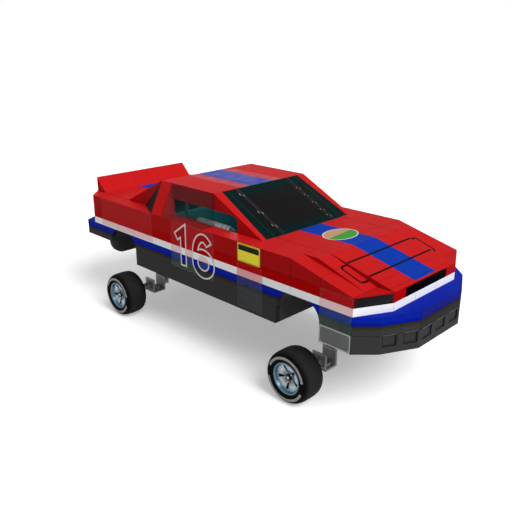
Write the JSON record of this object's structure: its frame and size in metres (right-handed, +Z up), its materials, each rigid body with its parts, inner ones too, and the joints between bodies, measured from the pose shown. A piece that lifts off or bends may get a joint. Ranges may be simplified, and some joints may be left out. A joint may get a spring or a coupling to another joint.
{
  "type": "stock car",
  "caption": "Flat-sided closed racing car that stands high on wide slick tyres, with steering front wheels, an opening bonnet, and a boot lid that carries a wedge spoiler.",
  "frame": {"origin": "on the ground below the middle of the car, midway between the axles", "axes": "+X to the nose, +Y to the car's left, +Z up"},
  "size_m": [5.13, 2.22, 1.9],
  "materials": {
    "body_paint": "gloss enamel in bands",
    "underbody": "satin dark grey",
    "dark_glass": "dark tint",
    "clear_glass": "light tint",
    "engine_iron": "as cast",
    "dash_plastic": "matt",
    "bare_steel": "satin",
    "cage_steel": "grey enamel",
    "grip_suede": "suede",
    "seat_fabric": "woven",
    "tyre_rubber": "smooth slick rubber",
    "rim_alloy": "machined"
  },
  "bodies": {
    "root": {"a_pillars": "body_paint", "brackets_front": "bare_steel", "brackets_rear": "bare_steel", "c_pillars": "body_paint", "dashboard": "dash_plastic", "door_panel_L": "body_paint", "door_panel_R": "body_paint", "driver_seat": "seat_fabric", "engine_block": "engine_iron", "fastback": "body_paint", "firewall": "underbody", "floor_pan": "underbody", "front_bumper": "body_paint", "front_fender_L": "body_paint", "front_fender_R": "body_paint", "nose_panel": "body_paint", "quarter_glass": "dark_glass", "rear_bulkhead": "underbody", "rear_bumper": "body_paint", "rear_quarter_L": "body_paint", "rear_quarter_R": "body_paint", "rear_window": "dark_glass", "roll_cage": "cage_steel", "roof": "body_paint", "side_glass": "clear_glass", "sills": "body_paint", "steering_column": "bare_steel", "tail_panel": "body_paint", "wheelhouse_front": "underbody", "wheelhouse_rear": "underbody", "windscreen": "dark_glass"},
    "bonnet": {"bonnet": "body_paint"},
    "boot_lid": {"boot_lid": "body_paint", "spoiler": "body_paint"},
    "knuckle_R": {"knuckle_R": "bare_steel"},
    "knuckle_L": {"knuckle_L": "bare_steel"},
    "steering_wheel": {"steering_wheel": "grip_suede"},
    "wheel_FR": {"tyre_FR": "tyre_rubber", "rim_FR": "rim_alloy"},
    "wheel_FL": {"tyre_FL": "tyre_rubber", "rim_FL": "rim_alloy"},
    "wheel_RR": {"tyre_RR": "tyre_rubber", "rim_RR": "rim_alloy"},
    "wheel_RL": {"tyre_RL": "tyre_rubber", "rim_RL": "rim_alloy"}
  },
  "joints": [
    {"name": "steer_R", "type": "hinge", "parent": "root", "child": "knuckle_R", "pos_m": [1.52, -0.475, 0.25], "axis": [0, 0, 1], "range_deg": [-25, 25]},
    {"name": "steer_L", "type": "hinge", "parent": "root", "child": "knuckle_L", "pos_m": [1.52, 0.475, 0.25], "axis": [0, 0, 1], "range_deg": [-25, 25]},
    {"name": "steering_wheel_turn", "type": "hinge", "parent": "root", "child": "steering_wheel", "pos_m": [0.50412, 0.38, 1.41], "axis": [-0.9397, 0, 0.342], "range_deg": [-225, 225]},
    {"name": "bonnet_hinge", "type": "hinge", "parent": "root", "child": "bonnet", "pos_m": [0.876, 0, 1.505], "axis": [0, -1, 0], "range_deg": [0, 60]},
    {"name": "boot_hinge", "type": "hinge", "parent": "root", "child": "boot_lid", "pos_m": [-1.636, 0, 1.505], "axis": [0, 1, 0], "range_deg": [0, 60]},
    {"name": "roll_FR", "type": "hinge", "parent": "knuckle_R", "child": "wheel_FR", "pos_m": [1.52, -0.958, 0.285], "axis": [0, 1, 0], "continuous": true},
    {"name": "roll_FL", "type": "hinge", "parent": "knuckle_L", "child": "wheel_FL", "pos_m": [1.52, 0.958, 0.285], "axis": [0, 1, 0], "continuous": true},
    {"name": "roll_RR", "type": "hinge", "parent": "root", "child": "wheel_RR", "pos_m": [-1.52, -0.958, 0.285], "axis": [0, 1, 0], "continuous": true},
    {"name": "roll_RL", "type": "hinge", "parent": "root", "child": "wheel_RL", "pos_m": [-1.52, 0.958, 0.285], "axis": [0, 1, 0], "continuous": true}
  ],
  "couplings": [
    {"joint": "steer_L", "follows": "steer_R", "ratio": 1},
    {"joint": "steering_wheel_turn", "follows": "steer_R", "ratio": 9}
  ]
}
